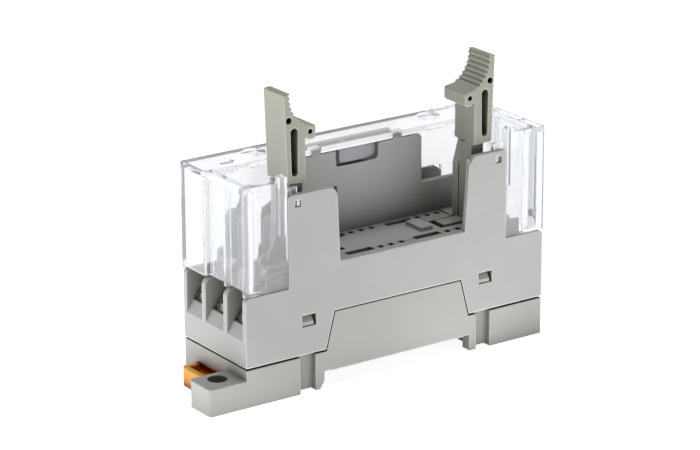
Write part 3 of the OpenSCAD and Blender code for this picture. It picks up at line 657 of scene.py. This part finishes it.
def banded_enamel(name, colour, centre, bands):
    """Enamel with rings round the X axis: bands are (offset, half width, colour)."""
    finish = Finish(name)
    along = finish.maths("SUBTRACT", finish.split(finish.place, "X"), centre)
    cloud = finish.noise(0.5 * MM, 3.0)
    body = finish.mix(finish.spread(cloud), shade(colour, 0.9), shade(colour, 1.08))
    for offset, half, band in bands:
        away = finish.maths("ABSOLUTE", finish.maths("SUBTRACT", along, offset))
        body = finish.mix(finish.span(away, half, half * 0.85), body, band)
    finish.surface(
        Base_Color=body,
        Roughness=finish.spread(cloud, 0.28, 0.4),
        Normal=finish.bump(cloud, 0.02 * MM, 0.3),
        Coat_Weight=0.4,
    )
    return finish.material


def lamp_resin(name, colour):
    """Clear resin of the indicator lamp."""
    finish = Finish(name)
    cloud = finish.noise(0.6 * MM, 2.0)
    finish.surface(
        Base_Color=finish.mix(finish.spread(cloud), colour, shade(colour, 0.92)),
        Roughness=finish.spread(cloud, 0.08, 0.16),
        Transmission_Weight=0.55,
        IOR=1.54,
    )
    return finish.material


def wear(node, material):
    """Puts a material on a CAD node, whose shape stays as packed."""
    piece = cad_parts[node]
    piece.data.materials.clear()
    piece.data.materials.append(material)


# ---- Meshes


def new_piece(name, mesh_maker, material):
    """A smooth-shaded object on the housing, from a function that fills a bmesh."""
    mesh = bpy.data.meshes.new(name)
    shape = bmesh.new()
    mesh_maker(shape)
    bmesh.ops.remove_doubles(shape, verts=shape.verts, dist=1e-7)
    bmesh.ops.recalc_face_normals(shape, faces=shape.faces)
    shape.to_mesh(mesh)
    shape.free()
    for face in mesh.polygons:
        face.use_smooth = True
    mesh.set_sharp_from_angle(angle=math.radians(SHARP_ANGLE))
    piece = bpy.data.objects.new(name, mesh)
    bpy.context.scene.collection.objects.link(piece)
    mesh.materials.append(material)
    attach(piece, HOUSING)
    return piece


def ring_of(shape, middle, across, other, radius, sides):
    """A ring of vertices round middle, in the plane of the directions across and other."""
    ring = []
    for i in range(sides):
        turn = 2 * math.pi * i / sides
        out = across * math.cos(turn) + other * math.sin(turn)
        ring.append(shape.verts.new(middle + out * radius))
    return ring


def turned(shape, profile, centre, along, sides=BODY_SIDES):
    """A turned body: profile is (distance along the axis, radius), closed at both ends."""
    axis = Vector(along).normalized()
    across = axis.orthogonal().normalized()
    other = axis.cross(across)
    rings = []
    for distance, radius in profile:
        middle = Vector(centre) + axis * distance
        if radius < 1e-9:
            rings.append([shape.verts.new(middle)])
        else:
            rings.append(ring_of(shape, middle, across, other, radius, sides))
    for low, high in zip(rings, rings[1:], strict=False):
        for i in range(sides):
            corners = [low[i % len(low)], low[(i + 1) % len(low)]]
            corners += [high[(i + 1) % len(high)], high[i % len(high)]]
            unique = list(dict.fromkeys(corners))
            if len(unique) > 2:
                shape.faces.new(unique)
    for ring in (rings[0], rings[-1]):
        if len(ring) > 1:
            shape.faces.new(ring)


def wire(shape, points, radius):
    """A round wire along points, closed at both ends."""
    points = [Vector(p) for p in points]
    rings = []
    side = None
    for i, point in enumerate(points):
        ahead = points[min(i + 1, len(points) - 1)] - points[max(i - 1, 0)]
        ahead.normalize()
        if side is None:
            side = ahead.orthogonal().normalized()
        side = (side - ahead * side.dot(ahead)).normalized()
        rings.append(ring_of(shape, point, side, ahead.cross(side), radius, WIRE_SIDES))
    for low, high in zip(rings, rings[1:], strict=False):
        for k in range(WIRE_SIDES):
            j = (k + 1) % WIRE_SIDES
            shape.faces.new((low[k], low[j], high[j], high[k]))
    shape.faces.new(rings[0])
    shape.faces.new(rings[-1])


def bend(start, corner, end, radius, steps=6):
    """Points of a wire that turns at corner on an arc of about radius."""
    start, corner, end = Vector(start), Vector(corner), Vector(end)
    first = corner + (start - corner).normalized() * radius
    last = corner + (end - corner).normalized() * radius
    points = [start]
    for i in range(steps + 1):
        t = i / steps
        points.append(first * (1 - t) ** 2 + corner * 2 * t * (1 - t) + last * t * t)
    points.append(end)
    return points


def fillet(shape, foot, radius):
    """A hollow-sided cone of solder round a wire, on the board's front face at foot."""
    profile = [(height * MM, radius * wide) for height, wide in SOLDER]
    turned(shape, profile, foot, (0, -1, 0), SOLDER_SIDES)


def middle(node):
    """The middle of a node's box, along X and up Z."""
    low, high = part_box(node)
    return (low.x + high.x) / 2, (low.z + high.z) / 2


# ---- Operators, one for each piece or group of like pieces


class SOCKET_OT_housing(Operator):
    """Finish the upper housing in grained light grey plastic"""

    bl_idname = "socket.housing"
    bl_label = "Upper housing"

    def execute(self, context):
        look = context.scene.socket_plastic
        wear("case", moulded_plastic("housing_grey", look.housing_colour, look))
        return {"FINISHED"}


class SOCKET_OT_rail_foot(Operator):
    """Finish the lower housing with its rail foot and screw tabs"""

    bl_idname = "socket.rail_foot"
    bl_label = "Lower housing"

    def execute(self, context):
        look = context.scene.socket_plastic
        material = moulded_plastic("foot_grey", look.base_colour, look, shadow=0.42)
        wear("base", material)
        return {"FINISHED"}


class SOCKET_OT_contact_block(Operator):
    """Finish the slotted block at the bottom of the relay bay"""

    bl_idname = "socket.contact_block"
    bl_label = "Contact block"

    def execute(self, context):
        look = context.scene.socket_plastic
        # Painted shade: a darker copy of the housing's colour, for the block deep in the bay
        material = moulded_plastic("block_shaded_grey", shade(look.housing_colour, 0.9), look)
        wear("contact_block", material)
        return {"FINISHED"}


class SOCKET_OT_levers(Operator):
    """Finish the two ejector levers"""

    bl_idname = "socket.levers"
    bl_label = "Ejector levers"

    def execute(self, context):
        look = context.scene.socket_plastic
        material = moulded_plastic("lever_olive", look.lever_colour, look, shadow=0.62)
        for node in ("lever_left", "lever_right"):
            wear(node, material)
        return {"FINISHED"}


class SOCKET_OT_rail_slider(Operator):
    """Finish the orange slider that grips the rail"""

    bl_idname = "socket.rail_slider"
    bl_label = "Rail slider"

    def execute(self, context):
        look = context.scene.socket_plastic
        material = moulded_plastic(
            "slider_orange", look.slider_colour, look, waxy=0.35, shadow=0.9
        )
        wear("rail_slider", material)
        return {"FINISHED"}


class SOCKET_OT_cover(Operator):
    """Finish the clear terminal cover and the indicator's window"""

    bl_idname = "socket.cover"
    bl_label = "Clear cover"

    def execute(self, context):
        look = context.scene.socket_cover
        wear("terminal_cover", clear_plastic("cover_clear", look))
        wear("indicator_lens", frosted_plastic("lens_frosted", look))
        return {"FINISHED"}


class SOCKET_OT_contacts(Operator):
    """Finish the ten stamped contacts"""

    bl_idname = "socket.contacts"
    bl_label = "Contacts"

    def execute(self, context):
        look = context.scene.socket_metal
        material = plated_metal("contact_brass", look.brass_colour, look)
        for i in TERMINALS:
            wear(f"contact_{i}", material)
        return {"FINISHED"}


class SOCKET_OT_screws(Operator):
    """Finish the terminal screws and their square wire clamps"""

    bl_idname = "socket.screws"
    bl_label = "Screws and clamps"

    def execute(self, context):
        look = context.scene.socket_metal
        material = plated_metal("screw_plating", look.steel_colour, look, 0.3, 0.4)
        for i in TERMINALS:
            wear(f"wire_clamp_{i}", material)
            wear(f"terminal_screw_{i}", material)
        return {"FINISHED"}


class SOCKET_OT_circuit(Operator):
    """Finish the indicator's board, and put its lamp, resistor and diode on it"""

    bl_idname = "socket.circuit"
    bl_label = "Circuit board"

    def execute(self, context):
        look = context.scene.socket_circuit
        wear("indicator_board", solder_mask("board_green", look.board_colour))
        tin = plated_metal("tinned_wire", TINNED, context.scene.socket_metal, 0.26)
        self.lamp(look, tin)
        x, _ = middle("resistor")
        enamel = banded_enamel("resistor_enamel", look.resistor_colour, x, RESISTOR_BANDS)
        self.axial("resistor", enamel, "resistor_body", RESISTOR_OUTLINE, look, tin)
        x, _ = middle("surge_diode")
        epoxy = banded_enamel("diode_epoxy", BLACK_EPOXY, x, DIODE_BANDS)
        self.axial("surge_diode", epoxy, "diode_body", DIODE_OUTLINE, look, tin)
        return {"FINISHED"}

    def lamp(self, look, tin):
        """A clear lamp with its dome in the wall's bore, on two wires from the board."""
        low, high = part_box("indicator_led")
        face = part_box("indicator_board")[0].y
        x, z = middle("indicator_led")
        rim = (high.x - low.x) / 2
        profile = [(on * MM, rim + step * MM) for on, step in LAMP_FOOT]
        body = profile[-1][1]
        back = high.y - LAMP_BACK_GAP
        long = back - low.y - LAMP_TIP_GAP
        for angle in map(math.radians, reversed(LAMP_DOME)):
            profile.append((long - body * (1 - math.cos(angle)), body * math.sin(angle)))

        def shape(mesh):
            turned(mesh, profile, (x, back, z), (0, -1, 0))

        resin = lamp_resin("lamp_resin", look.lamp_colour)
        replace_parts(new_piece("lamp_body", shape, resin), "indicator_led")
        radius = look.lead_radius

        def legs(mesh):
            for at in (x - LAMP_LEG_OUT, x + LAMP_LEG_OUT):
                ends = (at, back - WIRE_IN_LAMP, z), (at, face + WIRE_IN_BOARD, z)
                wire(mesh, ends, radius)
                fillet(mesh, (at, face, z), radius)

        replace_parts(new_piece("lamp_legs", legs, tin), "indicator_led")

    def axial(self, node, material, slot, outline, look, tin):
        """A body along the board with bent wires at both ends, each in a cone of solder."""
        low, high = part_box(node)
        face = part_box("indicator_board")[0].y
        x, z = middle(node)
        half = (high.x - low.x) / 2 - WIRE_ROOM
        thick = (high.z - low.z) / 2
        y = low.y + thick
        ends = [(-half * (1 - t * 0.5), r * thick) for t, r in outline]
        profile = ends + [(-d, r) for d, r in reversed(ends)]
        radius = look.lead_radius

        def shape(mesh):
            turned(mesh, profile, (x, y, z), (1, 0, 0))

        def wires(mesh):
            for s in (-1, 1):
                foot = x + s * (half + WIRE_OUT)
                path = bend(
                    (x + s * (half - WIRE_IN_BODY), y, z),
                    (foot, y, z),
                    (foot, face + WIRE_IN_BOARD, z),
                    WIRE_BEND,
                )
                wire(mesh, path, radius)
                fillet(mesh, (foot, face, z), radius)

        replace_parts(new_piece(f"{node}_body", shape, material), node)
        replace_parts(new_piece(f"{node}_wires", wires, tin), node)


class SOCKET_OT_studio(Operator):
    """Set the floor, the soft lamps, the white room and the camera"""

    bl_idname = "socket.studio"
    bl_label = "Studio"

    def execute(self, context):
        look = context.scene.socket_studio
        self.lay_floor(look)
        self.light_room(context, look)
        self.hang_key_lamp(look)
        self.place_camera(context)
        context.scene.view_settings.view_transform = "Standard"
        return {"FINISHED"}

    def lay_floor(self, look):
        """A white table, plain white to the eye, that throws soft light up at the object."""
        finish = Finish("table_white")
        cloud = finish.noise(40 * MM, 2.0)
        paper = finish.add("BsdfDiffuse")
        finish.feed(
            paper.inputs["Color"], finish.mix(cloud, (0.78, 0.78, 0.79), (0.80, 0.80, 0.80))
        )
        seen = finish.add("Emission")
        seen.inputs["Color"].default_value = (0.98, 0.995, 1.0, 1)
        # Painted shade: the white that the eye sees turns dark on the table under the fixing holes
        finish.feed(seen.inputs["Strength"], self.outside_hole_shade(finish, TABLE_WHITE))
        thrown = finish.add("Emission")
        thrown.inputs["Color"].default_value = (1.0, 0.995, 0.985, 1)
        ring = finish.compass(finish.place, TABLE_RING, look.table_light)
        open_table = finish.maths("MULTIPLY", ring, self.outside_footprint(finish))
        finish.feed(thrown.inputs["Strength"], open_table)
        glow = finish.blend(finish.seen(), thrown.outputs[0], seen.outputs[0])
        both = finish.add("AddShader")
        finish.feed(both.inputs[0], paper.outputs[0])
        finish.feed(both.inputs[1], glow)
        finish.show(both.outputs[0])
        mesh = bpy.data.meshes.new("table")
        sheet = bmesh.new()
        bmesh.ops.create_grid(sheet, x_segments=8, y_segments=8, size=look.floor_side / 2)
        sheet.to_mesh(mesh)
        sheet.free()
        table = bpy.data.objects.new("table", mesh)
        table.location.z = CAD_BOX[0][2] - TABLE_GAP
        bpy.context.scene.collection.objects.link(table)
        mesh.materials.append(finish.material)

    def outside_footprint(self, finish):
        """0 under the object and 1 a little way out, as the object keeps light off the table."""
        away = None
        for axis, half in (("X", CAD_BOX[1][0]), ("Y", CAD_BOX[1][1])):
            size = finish.maths("ABSOLUTE", finish.split(finish.place, axis))
            past = finish.maths("SUBTRACT", size, half)
            away = past if away is None else finish.maths("MAXIMUM", away, past)
        return finish.span(away, GLOW_STARTS, GLOW_FULL)

    def outside_hole_shade(self, finish, strength):
        """Painted shade on the table: 0 at the bottom of the two fixing holes, strength elsewhere.
        """
        nearest = None
        for centre in (HOLE_AT, -HOLE_AT):
            far = finish.add("VectorMath", operation="DISTANCE")
            finish.feed(far.inputs[0], finish.place)
            far.inputs[1].default_value = centre
            way = far.outputs["Value"]
            nearest = way if nearest is None else finish.maths("MINIMUM", nearest, way)
        return finish.span(nearest, HOLE_SHADE_RADIUS, HOLE_SHADE_EDGE, 0.0, strength)

    def light_room(self, context, look):
        """White to the eye and in reflections, and soft walls of light for the object."""
        world = bpy.data.worlds.new("white_room")
        world.use_nodes = True
        context.scene.world = world
        room = Finish(tree=world.node_tree)
        toward = room.add("TexCoord").outputs["Generated"]
        height = room.split(toward, "Z")
        walls = room.compass(toward, ROOM_RING, look.room_light)
        strength = room.maths("MULTIPLY", walls, room.span(height, ROOM_DARK, ROOM_LIT))
        lit = room.add("Background")
        lit.inputs["Color"].default_value = (0.97, 0.985, 1.0, 1)
        room.feed(lit.inputs["Strength"], strength)
        seen = room.add("Background")
        seen.inputs["Color"].default_value = (1, 1, 1, 1)
        room.show(room.blend(room.seen(), lit.outputs[0], seen.outputs[0]))

    def hang_key_lamp(self, look):
        """A soft square lamp above the object."""
        lamp = bpy.data.lights.new("key_lamp", "AREA")
        lamp.shape = "SQUARE"
        lamp.size = KEY_SIDE
        lamp.energy = look.key_power
        holder = bpy.data.objects.new("key_lamp", lamp)
        holder.location = KEY_AT
        aim = Vector(KEY_TOWARD) - Vector(KEY_AT)
        holder.rotation_euler = aim.to_track_quat("-Z", "Y").to_euler()
        bpy.context.scene.collection.objects.link(holder)

    def place_camera(self, context):
        lens = bpy.data.cameras.new("camera")
        lens.lens = CAMERA_LENS
        lens.sensor_width = CAMERA_SENSOR
        lens.clip_start = CAMERA_NEAR
        camera = bpy.data.objects.new("camera", lens)
        back = CAMERA_RIGHT.cross(CAMERA_UP)
        turn = Matrix((CAMERA_RIGHT, CAMERA_UP, back)).transposed().to_4x4()
        camera.matrix_world = Matrix.Translation(CAMERA_AT) @ turn
        context.scene.collection.objects.link(camera)
        context.scene.camera = camera


OPERATORS = (
    SOCKET_OT_housing,
    SOCKET_OT_rail_foot,
    SOCKET_OT_contact_block,
    SOCKET_OT_levers,
    SOCKET_OT_rail_slider,
    SOCKET_OT_cover,
    SOCKET_OT_contacts,
    SOCKET_OT_screws,
    SOCKET_OT_circuit,
    SOCKET_OT_studio,
)
LOOKS = {
    "socket_plastic": PlasticLook,
    "socket_cover": CoverLook,
    "socket_metal": MetalLook,
    "socket_circuit": CircuitLook,
    "socket_studio": StudioLook,
}


class SOCKET_PT_finish(Panel):
    """Lists the finishing steps and their settings"""

    bl_label = "Relay socket finish"
    bl_idname = "SOCKET_PT_finish"
    bl_space_type = "VIEW_3D"
    bl_region_type = "UI"
    bl_category = "Relay Socket"

    def draw(self, context):
        column = self.layout.column()
        for operator in OPERATORS:
            column.operator(operator.bl_idname)
        for name, look in LOOKS.items():
            group = getattr(context.scene, name)
            box = self.layout.box()
            for setting in look.__annotations__:
                box.prop(group, setting)


def register():
    for item in (*LOOKS.values(), *OPERATORS, SOCKET_PT_finish):
        bpy.utils.register_class(item)
    for name, look in LOOKS.items():
        setattr(bpy.types.Scene, name, PointerProperty(type=look))


def unregister():
    for name in LOOKS:
        delattr(bpy.types.Scene, name)
    for item in reversed((*LOOKS.values(), *OPERATORS, SOCKET_PT_finish)):
        bpy.utils.unregister_class(item)


def main():
    register()
    for operator in OPERATORS:
        group, step = operator.bl_idname.split(".")
        getattr(getattr(bpy.ops, group), step)()


if __name__ == "__main__":
    main()
